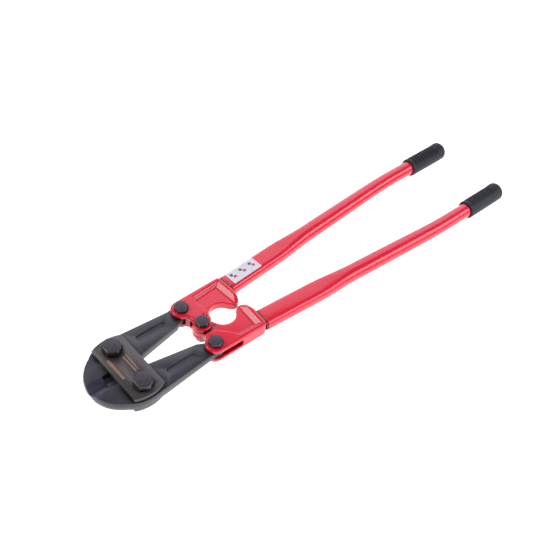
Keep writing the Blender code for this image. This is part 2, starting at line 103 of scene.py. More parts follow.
middle = PIVOT + Vector((0.1, 0, 0))
soft_box("key_over_jaws", middle, -131, 44, 1.9, (1.0, 0.8), 10)
soft_box("broad_behind", middle, 141, 29, 2.3, (2.8, 1.9), 20, "f4f2ff")
soft_box("broad_front", middle, -25, 50, 2.5, (3.0, 2.0), 3, "f2f5ff")
soft_box("broad_right", middle, 32, 28, 2.2, (2.4, 1.0), 23, "f8f4ff")

world = bpy.data.worlds.new("studio")
bpy.context.scene.world = world
world.use_nodes = True


def add_node(tree, kind, settings=None, inputs=()):
    """Add a node; inputs go by name, or in the sockets' order, and are constants, sockets
    to link from, or nodes whose first output is linked."""
    made = tree.nodes.new(kind)
    for name, value in (settings or {}).items():
        setattr(made, name, value)
    for name, value in inputs.items() if isinstance(inputs, dict) else enumerate(inputs):
        if isinstance(value, bpy.types.Node):
            value = value.outputs[0]
        if isinstance(value, bpy.types.NodeSocket):
            tree.links.new(value, made.inputs[name])
        else:
            made.inputs[name].default_value = value
    return made


sky = world.node_tree
height = add_node(sky, "ShaderNodeSeparateXYZ",
                  inputs={0: add_node(sky, "ShaderNodeTexCoord").outputs["Generated"]}).outputs["Z"]
glow = add_node(sky, "ShaderNodeMapRange", {}, {"Value": height, "From Min": 0, "From Max": 0.5,
                                                "To Min": 0.36, "To Max": 0.25}).outputs["Result"]
sky.links.new(glow, sky.nodes["Background"].inputs["Strength"])
sky.nodes["Background"].inputs["Color"].default_value = srgb("f4f4ff")


def new_material(name, roughness, metallic=0.0):
    made = bpy.data.materials.new(name)
    made.use_nodes = True
    shader = made.node_tree.nodes["Principled BSDF"]
    shader.inputs["Roughness"].default_value = roughness
    shader.inputs["Metallic"].default_value = metallic
    return made, made.node_tree, shader


# Painted board: matt white, with a trace of mottling from the roller.
board, tree, shader = new_material("painted_board", 0.85)
where = add_node(tree, "ShaderNodeTexCoord").outputs["Object"]
mottle = add_node(tree, "ShaderNodeTexNoise", inputs={"Vector": where, "Scale": 9, "Detail": 3})
shade = add_node(tree, "ShaderNodeMix", {"data_type": "RGBA"},
                 {0: mottle.outputs["Fac"], 6: srgb("8f8f8f"), 7: srgb("959595")})
tree.links.new(shade.outputs[2], shader.inputs["Base Color"])
shader.inputs["Emission Color"].default_value = srgb("ffffff")
shader.inputs["Emission Strength"].default_value = 0.97
bm = bmesh.new()
bmesh.ops.create_grid(bm, x_segments=1, y_segments=1, size=8)
bmesh.ops.translate(bm, verts=bm.verts, vec=(0, 0, -0.0005))
floor_mesh = bpy.data.meshes.new("floor")
bm.to_mesh(floor_mesh)
bm.free()
floor_mesh.materials.append(board)
floor = bpy.data.objects.new("floor", floor_mesh)
bpy.context.scene.collection.objects.link(floor)


# ---------------------------------------------------------------- straps
# Two flat steel side plates with round ends that carry the jaw bolts.  Blanked from
# plate, edges tumbled, then manganese phosphated: a dull brown-black, lighter on edges.

def edge_wear(tree, radius, rough_spots):
    """A mask that is 1 on sharp outer corners, broken up by a noise."""
    rounded = add_node(tree, "ShaderNodeBevel", {"samples": 6}, {"Radius": radius})
    true = add_node(tree, "ShaderNodeNewGeometry").outputs["Normal"]
    level = add_node(tree, "ShaderNodeVectorMath", {"operation": "DOT_PRODUCT"},
                     {0: rounded.outputs["Normal"], 1: true}).outputs["Value"]
    worn = add_node(tree, "ShaderNodeMapRange", {"interpolation_type": "SMOOTHSTEP"},
                    {"Value": level, "From Min": 0.995, "From Max": 0.9, "To Min": 0, "To Max": 1})
    return add_node(tree, "ShaderNodeMath", {"operation": "MULTIPLY"}, (worn, rough_spots)).outputs[0]


def with_painted_shade(tree, tint, reach, shade_colour):
    """The tint darkened to a shade colour where less open air is in reach, in corners and beside other
    pieces: painted shade.
    """
    air = add_node(tree, "ShaderNodeAmbientOcclusion", {"samples": 8}, {"Distance": reach}).outputs["AO"]
    packed = add_node(tree, "ShaderNodeMapRange", {}, {"Value": air, "From Min": 0.3, "From Max": 0.92,
                                                       "To Min": 1, "To Max": 0})
    return add_node(tree, "ShaderNodeMix", {"data_type": "RGBA"},
                    {0: packed, 6: tint, 7: srgb(shade_colour)}).outputs[2]


def phosphated_steel(name, dark, light, ink_boxes=()):
    """Manganese phosphate over forged or blanked steel; ink_boxes are printed bars in bronze."""
    made, tree, shader = new_material(name, 0.5, 0.75)
    where = add_node(tree, "ShaderNodeTexCoord").outputs["Object"]
    # cloudy patches about 15 mm across, and crystals a third of a millimetre across
    clouds = add_node(tree, "ShaderNodeTexNoise", inputs={"Vector": where, "Scale": 70, "Detail": 5,
                                                          "Roughness": 0.6}).outputs["Fac"]
    crystals = add_node(tree, "ShaderNodeTexNoise", inputs={"Vector": where, "Scale": 2600,
                                                            "Detail": 2}).outputs["Fac"]
    tint = add_node(tree, "ShaderNodeMix", {"data_type": "RGBA"},
                    {0: clouds, 6: srgb(dark), 7: srgb(light)}).outputs[2]
    speckle = add_node(tree, "ShaderNodeMapRange", {}, {"Value": crystals, "From Min": 0.3, "From Max": 0.7,
                                                        "To Min": 0.82, "To Max": 1.15}).outputs["Result"]
    tint = add_node(tree, "ShaderNodeMix", {"data_type": "RGBA", "blend_type": "MULTIPLY"},
                    {0: 1.0, 6: tint, 7: speckle}).outputs[2]
    spots = add_node(tree, "ShaderNodeMapRange", {}, {"Value": clouds, "From Min": 0.35, "From Max": 0.65,
                                                      "To Min": 0.25, "To Max": 0.9}).outputs["Result"]
    worn = edge_wear(tree, 0.9 * MM, spots)
    tint = add_node(tree, "ShaderNodeMix", {"data_type": "RGBA"},
                    {0: worn, 6: tint, 7: srgb("7a7473")}).outputs[2]
    # the bars are printed on the upper face alone, and the crystals break them up
    place = add_node(tree, "ShaderNodeSeparateXYZ", inputs={"Vector": where}).outputs
    for (x, half_x), (y, half_y) in ink_boxes:
        on_top = add_node(tree, "ShaderNodeMath", {"operation": "GREATER_THAN"},
                          (place["Z"], PIVOT.z + 16 * MM))
        in_length = add_node(tree, "ShaderNodeMath", {"operation": "COMPARE"}, (place["X"], x, half_x))
        in_width = add_node(tree, "ShaderNodeMath", {"operation": "COMPARE"}, (place["Y"], y, half_y))
        inked = speckle
        for mask in (in_length, in_width, on_top):
            inked = add_node(tree, "ShaderNodeMath", {"operation": "MULTIPLY"}, (inked, mask))
        tint = add_node(tree, "ShaderNodeMix", {"data_type": "RGBA"},
                        {0: inked, 6: tint, 7: srgb("a88870")}).outputs[2]
    # painted shade: near-black in corners and beside the bolts, nuts and jaws
    tree.links.new(with_painted_shade(tree, tint, 9 * MM, "0b0a0b"), shader.inputs["Base Color"])
    gloss = add_node(tree, "ShaderNodeMapRange", {}, {"Value": clouds, "From Min": 0.3, "From Max": 0.7,
                                                      "To Min": 0.44, "To Max": 0.58}).outputs["Result"]
    tree.links.new(gloss, shader.inputs["Roughness"])
    # a film of rust-preventing oil, which shows at grazing angles
    shader.inputs["Coat Weight"].default_value = 0.6
    shader.inputs["Coat Roughness"].default_value = 0.3
    bump = add_node(tree, "ShaderNodeBump", inputs={"Height": crystals, "Strength": 0.25,
                                                    "Distance": 0.12 * MM})
    tree.links.new(bump.outputs["Normal"], shader.inputs["Normal"])
    return made


def add_piece(name, mesh, body, nodes, *finishes):
    """Put a finished mesh in the scene in place of its solids."""
    mesh.name = name
    mesh.materials.clear()
    for finish in finishes:
        mesh.materials.append(finish)
    piece = bpy.data.objects.new(name, mesh)
    bpy.context.scene.collection.objects.link(piece)
    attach(piece, body)
    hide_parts(*nodes)
    return piece


def evaluated(obj):
    """The mesh that obj's modifiers make; obj itself is removed."""
    bpy.context.view_layer.update()
    mesh = bpy.data.meshes.new_from_object(obj.evaluated_get(bpy.context.evaluated_depsgraph_get()))
    bpy.data.objects.remove(obj)
    return mesh


def merged_copy(node):
    """The solid of a node as a loose object with one vertex at each corner."""
    bm = bmesh.new()
    bm.from_mesh(frame["nodes"][node].data)
    bmesh.ops.remove_doubles(bm, verts=bm.verts, dist=1e-6)
    mesh = bpy.data.meshes.new(node)
    bm.to_mesh(mesh)
    bm.free()
    obj = bpy.data.objects.new("raw_" + node, mesh)
    bpy.context.scene.collection.objects.link(obj)
    return obj


def eased(node, width, segments=2):
    """The solid of a node with its sharp corners rounded off by width."""
    obj = merged_copy(node)
    bm = bmesh.new()
    bm.from_mesh(obj.data)
    bmesh.ops.dissolve_limit(bm, angle_limit=radians(0.4), verts=bm.verts, edges=bm.edges)
    bm.to_mesh(obj.data)
    bm.free()
    obj.data.shade_smooth()
    bevel = obj.modifiers.new("ease", "BEVEL")
    bevel.width = width
    bevel.segments = segments
    bevel.limit_method = "ANGLE"
    bevel.angle_limit = radians(28)
    bevel.harden_normals = True
    return evaluated(obj)


marks = [((PIVOT.x + x * MM, hx * MM), (y * MM, hy * MM))
         for x, hx, y, hy in ((-170, 2.6, 6, 23), (-146, 1.3, 3, 18), (-140.5, 0.7, 3, 18))]
printed_strap = phosphated_steel("phosphated_strap_with_print", "463f3f", "625956", marks)
plain_strap = phosphated_steel("phosphated_strap", "463f3f", "625956")
add_piece("strap_top", eased("top_strap", 0.7 * MM), "strap_pack", ["top_strap"], printed_strap)
add_piece("strap_bottom", eased("bottom_strap", 0.7 * MM), "strap_pack", ["bottom_strap"], plain_strap)


# ---------------------------------------------------------------- jaws
# Drop-forged chrome-vanadium jaws, hardened at the edge.  The bevels of the cutting
# edge are ground after the phosphate, so they show bluish steel with fine scratches.

ground, tree, shader = new_material("ground_tool_steel", 0.38, 0.9)
where = add_node(tree, "ShaderNodeTexCoord").outputs["Object"]
# wheel marks run across the edge, some 0.4 mm apart so that they show
turned = add_node(tree, "ShaderNodeMapping", inputs={"Vector": where, "Scale": (2400, 60, 60)})
scratches = add_node(tree, "ShaderNodeTexNoise", inputs={"Vector": turned.outputs["Vector"], "Scale": 1,
                                                         "Detail": 3}).outputs["Fac"]
tint = add_node(tree, "ShaderNodeMix", {"data_type": "RGBA"},
                {0: scratches, 6: srgb("3e3f49"), 7: srgb("5f6070")})
tree.links.new(tint.outputs[2], shader.inputs["Base Color"])
bump = add_node(tree, "ShaderNodeBump", inputs={"Height": scratches, "Strength": 0.3,
                                                "Distance": 0.05 * MM})
tree.links.new(bump.outputs["Normal"], shader.inputs["Normal"])

forged_skin = phosphated_steel("phosphated_jaw", "38373c", "525058")
for side in ("right", "left"):
    jaw = eased("jaw_" + side, 0.5 * MM)
    add_piece("forged_jaw_" + side, jaw, side + "_jaw", ["jaw_" + side], forged_skin, ground)
    # the grinding wheel reached the sloping faces ahead of the throat, beside the middle plane
    throat, wheel_reach = -191 * MM, 13.6 * MM
    for face in jaw.polygons:
        spot, slope = face.center - PIVOT, abs(face.normal.z)
        on_bevel = spot.x < throat and abs(spot.y) < wheel_reach and 0.3 < slope < 0.97
        face.material_index = 1 if on_bevel else 0


# ---------------------------------------------------------------- bolts
# Hexagon bolts with turned top chamfers, black oxided: blue-black and slightly oily,
# with bright steel where spanners have touched the corners.

oxide, tree, shader = new_material("black_oxide_steel", 0.36, 0.85)
where = add_node(tree, "ShaderNodeTexCoord").outputs["Object"]
smears = add_node(tree, "ShaderNodeTexNoise", inputs={"Vector": where, "Scale": 240, "Detail": 6,
                                                      "Roughness": 0.65}).outputs["Fac"]
tint = add_node(tree, "ShaderNodeMix", {"data_type": "RGBA"},
                {0: smears, 6: srgb("434045"), 7: srgb("67646a")}).outputs[2]
spots = add_node(tree, "ShaderNodeMapRange", {}, {"Value": smears, "From Min": 0.35, "From Max": 0.6,
                                                  "To Min": 0.2, "To Max": 1}).outputs["Result"]
worn = edge_wear(tree, 0.7 * MM, spots)
tint = add_node(tree, "ShaderNodeMix", {"data_type": "RGBA"},
                {0: worn, 6: tint, 7: srgb("c8c5c2")}).outputs[2]
# painted shade: near-black where the bolts and nuts stand on the straps and heads
tree.links.new(with_painted_shade(tree, tint, 12 * MM, "060607"), shader.inputs["Base Color"])
gloss = add_node(tree, "ShaderNodeMapRange", {}, {"Value": smears, "From Min": 0.3, "From Max": 0.7,
                                                  "To Min": 0.28, "To Max": 0.46})
tree.links.new(gloss.outputs["Result"], shader.inputs["Roughness"])
bump = add_node(tree, "ShaderNodeBump", inputs={"Height": smears, "Strength": 0.2, "Distance": 0.1 * MM})
tree.links.new(bump.outputs["Normal"], shader.inputs["Normal"])

bolts = bpy.data.node_groups.new("hexagon_bolts", "GeometryNodeTree")
bolts.is_modifier = True
bolts.interface.new_socket("Seats", in_out="INPUT", socket_type="NodeSocketGeometry")
for name in ("Across Flats", "Head Height", "Shank Radius", "Shank Length"):
    bolts.interface.new_socket(name, in_out="INPUT", socket_type="NodeSocketFloat")
bolts.interface.new_socket("Finish", in_out="INPUT", socket_type="NodeSocketMaterial")
bolts.interface.new_socket("Bolts", in_out="OUTPUT", socket_type="NodeSocketGeometry")
given = add_node(bolts, "NodeGroupInput").outputs

inner = add_node(bolts, "ShaderNodeMath", {"operation": "MULTIPLY"}, (given["Across Flats"], 0.5))
drum = add_node(bolts, "GeometryNodeMeshCylinder", {"fill_type": "TRIANGLE_FAN"},
                {"Vertices": 96, "Side Segments": 1, "Fill Segments": 2, "Radius": inner,
                 "Depth": given["Head Height"]})
# the rim goes out to the hexagon and drops by the 30 degree chamfer; the ring inside it
# goes out to the circle where the chamfer starts, 0.94 of the way to the flats
position = add_node(bolts, "GeometryNodeInputPosition")
spot = add_node(bolts, "ShaderNodeSeparateXYZ", inputs=(position,)).outputs
level = add_node(bolts, "ShaderNodeCombineXYZ", inputs=(spot["X"], spot["Y"]))
radius = add_node(bolts, "ShaderNodeVectorMath", {"operation": "LENGTH"}, (level,)).outputs["Value"]
between = add_node(bolts, "ShaderNodeMath", {"operation": "MULTIPLY"}, (inner, 0.75))
on_rim = add_node(bolts, "ShaderNodeMath", {"operation": "GREATER_THAN"}, (radius, between))
bearing = add_node(bolts, "ShaderNodeMath", {"operation": "ARCTAN2"}, (spot["Y"], spot["X"]))
off_flat = add_node(bolts, "ShaderNodeMath", {"operation": "WRAP"}, (bearing, pi / 6, -pi / 6))
cosine = add_node(bolts, "ShaderNodeMath", {"operation": "COSINE"}, (off_flat,))
to_hexagon = add_node(bolts, "ShaderNodeMath", {"operation": "DIVIDE"}, (1.0, cosine))
stretch = add_node(bolts, "ShaderNodeMix", {"data_type": "FLOAT"}, {0: on_rim, 2: 2 * 0.94, 3: to_hexagon})
share = add_node(bolts, "ShaderNodeMath", {"operation": "SUBTRACT"}, (to_hexagon, 0.94))
beyond = add_node(bolts, "ShaderNodeMath", {"operation": "MULTIPLY"}, (inner, share))
chamfer = add_node(bolts, "ShaderNodeMath", {"operation": "MULTIPLY"}, (beyond, -tan(radians(30))))
above = add_node(bolts, "ShaderNodeMath", {"operation": "GREATER_THAN"}, (spot["Z"], 0.0))
top_rim = add_node(bolts, "ShaderNodeMath", {"operation": "MULTIPLY"}, (on_rim, above))
drop = add_node(bolts, "ShaderNodeMath", {"operation": "MULTIPLY"}, (chamfer, top_rim))
lift = add_node(bolts, "ShaderNodeMath", {"operation": "MULTIPLY_ADD"}, (given["Head Height"], 0.5, drop))
widen = add_node(bolts, "ShaderNodeCombineXYZ", inputs=(stretch, stretch, 1.0))
shift = add_node(bolts, "ShaderNodeCombineXYZ", inputs={"Z": lift})
moved = add_node(bolts, "ShaderNodeVectorMath", {"operation": "MULTIPLY_ADD"}, (position, widen, shift))
head = add_node(bolts, "GeometryNodeSetPosition", inputs={"Geometry": drum, "Position": moved})
shank = add_node(bolts, "GeometryNodeMeshCylinder", {"fill_type": "NGON"},
                 {"Vertices": 48, "Radius": given["Shank Radius"], "Depth": given["Shank Length"]})
below = add_node(bolts, "ShaderNodeMath", {"operation": "MULTIPLY_ADD"}, (given["Shank Length"], -0.5, MM))
hung = add_node(bolts, "ShaderNodeCombineXYZ", inputs={"Z": below})
shank = add_node(bolts, "GeometryNodeTransform", inputs={"Geometry": shank, "Translation": hung})
whole = add_node(bolts, "GeometryNodeJoinGeometry")
for part in (head, shank):
    bolts.links.new(part.outputs[0], whole.inputs[0])
each = add_node(bolts, "GeometryNodeInstanceOnPoints", inputs={"Points": given["Seats"], "Instance": whole})
real = add_node(bolts, "GeometryNodeRealizeInstances", inputs=(each,))
done = add_node(bolts, "GeometryNodeSetMaterial", inputs={"Geometry": real, "Material": given["Finish"]})
add_node(bolts, "NodeGroupOutput", inputs=(done,))


def grown(name, mesh, tree, values):
    """The mesh that a Geometry Nodes tree makes on a base mesh, with its inputs by name."""
    obj = bpy.data.objects.new(name, mesh)
    grow = obj.modifiers.new("grow", "NODES")
    grow.node_group = tree
    for item in tree.interface.items_tree:
        if item.in_out == "INPUT" and item.name in values:
            grow[item.identifier] = values[item.name]
    bpy.context.scene.collection.objects.link(obj)
    return obj


def make_bolts(name, body, nodes, across, head, shank):
    seats = []
    for solid in nodes:
        bottom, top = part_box(solid)
        seats.append(((bottom.x + top.x) / 2, (bottom.y + top.y) / 2, top.z - head))
    length = seats[0][2] - bottom.z + MM
    mesh = bpy.data.meshes.new(name)
    mesh.from_pydata(seats, [], [])
    obj = grown(name, mesh, bolts, {"Across Flats": across, "Head Height": head, "Shank Radius": shank,
                                    "Shank Length": length, "Finish": oxide})
    ease = obj.modifiers.new("ease", "BEVEL")
    ease.width = 0.35 * MM
    ease.segments = 2
    ease.limit_method = "ANGLE"
    ease.angle_limit = radians(20)
    made = evaluated(obj)
    made.shade_smooth()
    made.set_sharp_from_angle(angle=radians(20))
    add_piece(name, made, body, nodes, oxide)


make_bolts("jaw_bolts", "strap_pack", ["jaw_bolt_right", "jaw_bolt_left"], 30 * MM, 11.5 * MM, 10 * MM)
make_bolts("handle_bolts_right", "right_handle", ["tail_bolt_right", "centre_bolt"],
           22 * MM, 7.2 * MM, 6 * MM)
make_bolts("handle_bolt_left", "left_handle", ["tail_bolt_left"], 22 * MM, 7.2 * MM, 6 * MM)
for node, body in (("jaw_nut_right", "strap_pack"), ("jaw_nut_left", "strap_pack"),
                   ("tail_nut_right", "right_handle"), ("centre_nut", "right_handle"),
                   ("tail_nut_left", "left_handle"), ("tail_washer_right", "right_handle"),
                   ("centre_washer", "right_handle"), ("tail_washer_left", "left_handle")):
    add_piece("oxided_" + node, eased(node, 0.3 * MM), body, [node], oxide)


# ---------------------------------------------------------------- heads
# Drop-forged steel heads: a fork on the right and its tongue on the left, with soft
# fillets from the dies, sprayed with glossy red enamel, with painted shade in its corners.

def red_enamel(name, peel, strength, wear):
    """Sprayed gloss enamel; peel is the height of its orange peel, wear thins it on corners."""
    made, tree, shader = new_material(name, 0.22)
    where = add_node(tree, "ShaderNodeTexCoord").outputs["Object"]
    # film thickness changes over some 30 mm, orange peel has bumps about 2 mm apart
    film = add_node(tree, "ShaderNodeTexNoise", inputs={"Vector": where, "Scale": 35,
                                                        "Detail": 4}).outputs["Fac"]
    orange = add_node(tree, "ShaderNodeTexNoise", inputs={"Vector": where, "Scale": 420, "Detail": 2,
                                                          "Roughness": 0.4}).outputs["Fac"]
    tint = add_node(tree, "ShaderNodeMix", {"data_type": "RGBA"},
                    {0: film, 6: srgb("e8042c"), 7: srgb("f2103a")}).outputs[2]
    spots = add_node(tree, "ShaderNodeMapRange", {}, {"Value": film, "From Min": 0.45, "From Max": 0.75,
                                                      "To Min": 0, "To Max": 0.5}).outputs["Result"]
    thinned = add_node(tree, "ShaderNodeMath", {"operation": "MULTIPLY"}, (spots, wear))
    worn = edge_wear(tree, 0.8 * MM, thinned)
    tint = add_node(tree, "ShaderNodeMix", {"data_type": "RGBA"},
                    {0: worn, 6: tint, 7: srgb("f0606a")}).outputs[2]
    # painted shade: dark red in the fork's slots, in corners and beside the bolts
    tree.links.new(with_painted_shade(tree, tint, 16 * MM, "640612"), shader.inputs["Base Color"])
    gloss = add_node(tree, "ShaderNodeMapRange", {}, {"Value": film, "From Min": 0.3, "From Max": 0.7,
                                                      "To Min": 0.16, "To Max": 0.28}).outputs["Result"]
    tree.links.new(gloss, shader.inputs["Roughness"])
    shader.inputs["Coat Weight"].default_value = 0.5
    shader.inputs["Coat Roughness"].default_value = 0.07
    bump = add_node(tree, "ShaderNodeBump", inputs={"Height": orange, "Strength": strength,
                                                    "Distance": peel})
    tree.links.new(bump.outputs["Normal"], shader.inputs["Normal"])
    return made


forging_enamel = red_enamel("red_enamel_on_forging", 0.03 * MM, 0.25, 1.0)
for side in ("right", "left"):
    raw = merged_copy("head_" + side)
    skin = raw.modifiers.new("skin", "REMESH")
    skin.mode = "VOXEL"
    skin.voxel_size = 0.7 * MM
    fillet = raw.modifiers.new("fillet", "SMOOTH")
    fillet.factor = 0.5
    fillet.iterations = 22
    thin = raw.modifiers.new("thin", "DECIMATE")
    thin.ratio = 0.5
    head = evaluated(raw)
    head.shade_smooth()
    add_piece("forged_head_" + side, head, side + "_handle", ["head_" + side], forging_enamel)

# The small pin beside the centre bolt that stops it from turning, painted over.
add_piece("lock_pin", eased("centre_lock_pin", 0.8 * MM, 3), "right_handle", ["centre_lock_pin"],
          forging_enamel)


# ---------------------------------------------------------------- handle tubes
# Drawn steel tube, 28 mm across, pressed flat at the end that goes over the head's
# tang and bent back to run parallel at the grips.  Same red enamel, smoother ground.

SHOULDER, SLOPE = (90 * MM, 48.3 * MM), 0.0687
BEND, TUBE_END, TUBE_WALL = 520 * MM, 686 * MM, 2.5 * MM


def handle_axis(x):
    """Height of the handle's axis over the middle plane, and its slope, at x."""
    blend = 40 * MM
    start = BEND - blend
    if x <= start:
        return SHOULDER[1] + SLOPE * (x - SHOULDER[0]), SLOPE
    run = min(x, BEND + blend) - start
    rise = SLOPE * (run - run * run / (4 * blend))
    return SHOULDER[1] + SLOPE * (start - SHOULDER[0]) + rise, SLOPE * (1 - run / (2 * blend))


def tube_section(x):
    """Half width, half height and corner radius: flat at the head, round at the grip."""
    stations = ((210, 19.2, 12.2, 9.4), (300, 15.7, 14.8, 14.2), (590, 14, 14, 13.9))
    at = x / MM
    if at <= stations[0][0]:
        return [value * MM for value in stations[0][1:]]
    for one, two in zip(stations, stations[1:]):
        if at <= two[0]:
            t = (at - one[0]) / (two[0] - one[0])
            t = t * t * (3 - 2 * t)
            return [(a + (b - a) * t) * MM for a, b in zip(one[1:], two[1:])]
    return [value * MM for value in stations[-1][1:]]


def tube_ring(x, inset, side, steps=12):
    """One section of the tube, as points about the tool's zero."""
    width, height, corner = (value - inset for value in tube_section(x))
    y, slope = handle_axis(x)
    length = hypot(1, slope)
    ring = []
    for quarter, (sy, sz) in enumerate(((1, 1), (-1, 1), (-1, -1), (1, -1))):
        for i in range(steps + 1):
            a = pi / 2 * (quarter + i / steps)
            across, up = sy * (width - corner) + corner * cos(a), sz * (height - corner) + corner * sin(a)
            ring.append(PIVOT + Vector((x - across * slope / length, side * (y + across / length), up)))
    return ring


def skinned(name, rings, closed_ends):
    """Quads between rings; the ends are closed, or joined to each other for a hollow piece."""
    bm = bmesh.new()
    made = [[bm.verts.new(point) for point in ring] for ring in rings]
    pairs = list(zip(made, made[1:]))
    if closed_ends:
        bm.faces.new(made[0])
        bm.faces.new(made[-1])
    else:
        pairs.append((made[-1], made[0]))
    for one, two in pairs:
        for i in range(len(one)):
            j = (i + 1) % len(one)
            bm.faces.new((one[i], one[j], two[j], two[i]))
    bmesh.ops.recalc_face_normals(bm, faces=bm.faces)
    mesh = bpy.data.meshes.new(name)
    bm.to_mesh(mesh)
    bm.free()
    mesh.shade_smooth()
    mesh.set_sharp_from_angle(angle=radians(40))
    return mesh


tube_enamel = red_enamel("red_enamel_on_tube", 0.006 * MM, 0.1, 0.15)
for side, name in ((1, "right"), (-1, "left")):
    mouth = SHOULDER[0] + 2.4 * MM
    cuts = [mouth, mouth + 0.5 * MM, mouth + 1.2 * MM]
    # sections stand closest where the flat runs out into the round, and at the bend
    cuts += [x * MM for x in [*range(96, 200, 13), *range(204, 320, 4), *range(330, 470, 14),
                              *range(472, 570, 6), 580, 600, 640]] + [TUBE_END]
    drawn_in = {0: 0.7 * MM, 1: 0.2 * MM}
    outer = [tube_ring(x, drawn_in.get(i, 0), side) for i, x in enumerate(cuts)]
    bore = [tube_ring(x, TUBE_WALL, side) for x in reversed(cuts)]
    tube = skinned("tube", outer + bore, False)
    add_piece("handle_" + name, tube, name + "_handle", ["handle_tube_" + name], tube_enamel)
    # a ring of dark oxide in the narrow gap at the tube's rolled end: a dark line at the shoulder that is
    # painted shade
    gap_shade = [tube_ring(SHOULDER[0] + x * MM, inset * MM, side)
            for x, inset in ((0.1, 1.3), (3.4, 1.3), (3.4, 3.0), (0.1, 3.0))]
    ring = bpy.data.objects.new("gap_shade_ring_" + name, skinned("gap_shade_ring_" + name, gap_shade, False))
    ring.data.materials.append(oxide)
    bpy.context.scene.collection.objects.link(ring)
    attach(ring, name + "_handle")


# ---------------------------------------------------------------- label
# Self-adhesive vinyl label on the flat of the right-hand tube, wrapped a little over
# its outer corner, printed with a plain grey grid and small dark and red marks.

vinyl, tree, shader = new_material("printed_vinyl", 0.42)
spot = add_node(tree, "ShaderNodeSeparateXYZ",
                inputs={0: add_node(tree, "ShaderNodeUVMap", {"uv_map": "label"}).outputs["UV"]}).outputs
# three cells of 22 mm, each with a dark mark and a red mark, on a grid of thin rules
centred, rules = [], []
for distance, pitch, clear in ((spot["X"], 22.0, 10.7), (spot["Y"], 8.0, 3.75)):
    within = add_node(tree, "ShaderNodeMath", {"operation": "MODULO"}, (distance, pitch))
    centred.append(add_node(tree, "ShaderNodeMath", {"operation": "SUBTRACT"}, (within, pitch / 2)))
    away = add_node(tree, "ShaderNodeMath", {"operation": "ABSOLUTE"}, (centred[-1],))
    rules.append(add_node(tree, "ShaderNodeMath", {"operation": "GREATER_THAN"}, (away, clear)))
rule = add_node(tree, "ShaderNodeMath", {"operation": "MAXIMUM"}, rules)
faint = add_node(tree, "ShaderNodeMath", {"operation": "MULTIPLY"}, (rule, 0.45))
where = add_node(tree, "ShaderNodeTexCoord").outputs["Object"]
wobble = add_node(tree, "ShaderNodeTexNoise", inputs={"Vector": where, "Scale": 700}).outputs["Fac"]
tint = add_node(tree, "ShaderNodeMix", {"data_type": "RGBA"},
                {0: wobble, 6: srgb("dcdce2"), 7: srgb("f2f2f4")}).outputs[2]
tint = add_node(tree, "ShaderNodeMix", {"data_type": "RGBA"},
                {0: faint, 6: tint, 7: srgb("9a9aa8")}).outputs[2]
in_cell = add_node(tree, "ShaderNodeCombineXYZ", inputs=(centred[0], spot["Y"]))
for across, along, ink in ((11.5, -3.0, "4a4a55"), (19.0, 1.5, "c8323c")):
    near = add_node(tree, "ShaderNodeVectorMath", {"operation": "DISTANCE"},
                    (in_cell, (along, across, 0))).outputs["Value"]
    ragged = add_node(tree, "ShaderNodeMath", {"operation": "MULTIPLY_ADD"}, (wobble, 9.0, near))
    blot = add_node(tree, "ShaderNodeMath", {"operation": "LESS_THAN"}, (ragged, 8.0))
    tint = add_node(tree, "ShaderNodeMix", {"data_type": "RGBA"},
                    {0: blot, 6: tint, 7: srgb(ink)}).outputs[2]
tree.links.new(tint, shader.inputs["Base Color"])

LABEL_START, LABEL_STEP, LABEL_WIDTH = 11, 2, 34
half, height, corner = tube_section(SHOULDER[0])
# across the tube: a millimetre at a time over the flat, then 7 degrees at a time round the corner
flat_steps = [-(half - corner) - 3 * MM + i * MM for i in range(23)]
wrap = [(y, 90.0) for y in flat_steps if y < half - corner]
wrap += [(half - corner, 90.0 - 7 * i) for i in range(6)]
last, end = len(wrap) - 1, 33
label_mesh = bpy.data.meshes.new("label")
bm = bmesh.new()
uv = bm.loops.layers.uv.new("label")
grid, printed = {}, {}
for layer, lift in enumerate((0.3 * MM, 0.55 * MM)):
    reach = corner + lift
    for i in range(end + 1):
        for j, (y, a) in enumerate(wrap):
            across, up = y + reach * cos(radians(a)), height - corner + reach * sin(radians(a))
            along = (LABEL_START + LABEL_STEP * i) * MM
            length = hypot(1, SLOPE)
            x = SHOULDER[0] + (along - across * SLOPE) / length
            at = SHOULDER[1] + (across + along * SLOPE) / length
            grid[layer, i, j] = bm.verts.new(PIVOT + Vector((x, at, up)))
            printed[grid[layer, i, j]] = (LABEL_STEP * i, LABEL_WIDTH * (1 - j / last))
for i in range(end):
    for j in range(last):
        for layer in (0, 1):
            bm.faces.new([grid[layer, i + di, j + dj] for di, dj in ((0, 0), (1, 0), (1, 1), (0, 1))])
rim = [(i, 0) for i in range(end)] + [(end, j) for j in range(last)]
rim += [(i, last) for i in range(end, 0, -1)] + [(0, j) for j in range(last, 0, -1)]
for one, two in zip(rim, rim[1:] + rim[:1]):
    bm.faces.new([grid[0, *one], grid[0, *two], grid[1, *two], grid[1, *one]])
for face in bm.faces:
    for loop in face.loops:
        loop[uv].uv = printed[loop.vert]
bmesh.ops.recalc_face_normals(bm, faces=bm.faces)
bm.to_mesh(label_mesh)
bm.free()
label_mesh.shade_smooth()
label_mesh.set_sharp_from_angle(angle=radians(40))
add_piece("tube_label", label_mesh, "right_handle", ["rating_label"], vinyl)


# ---------------------------------------------------------------- grips
# Moulded rubber sleeves, pushed over the tube ends: one side has a row of finger ribs
# in a shallow recess and a swelling at the closed end.  Matt navy black, dusty.

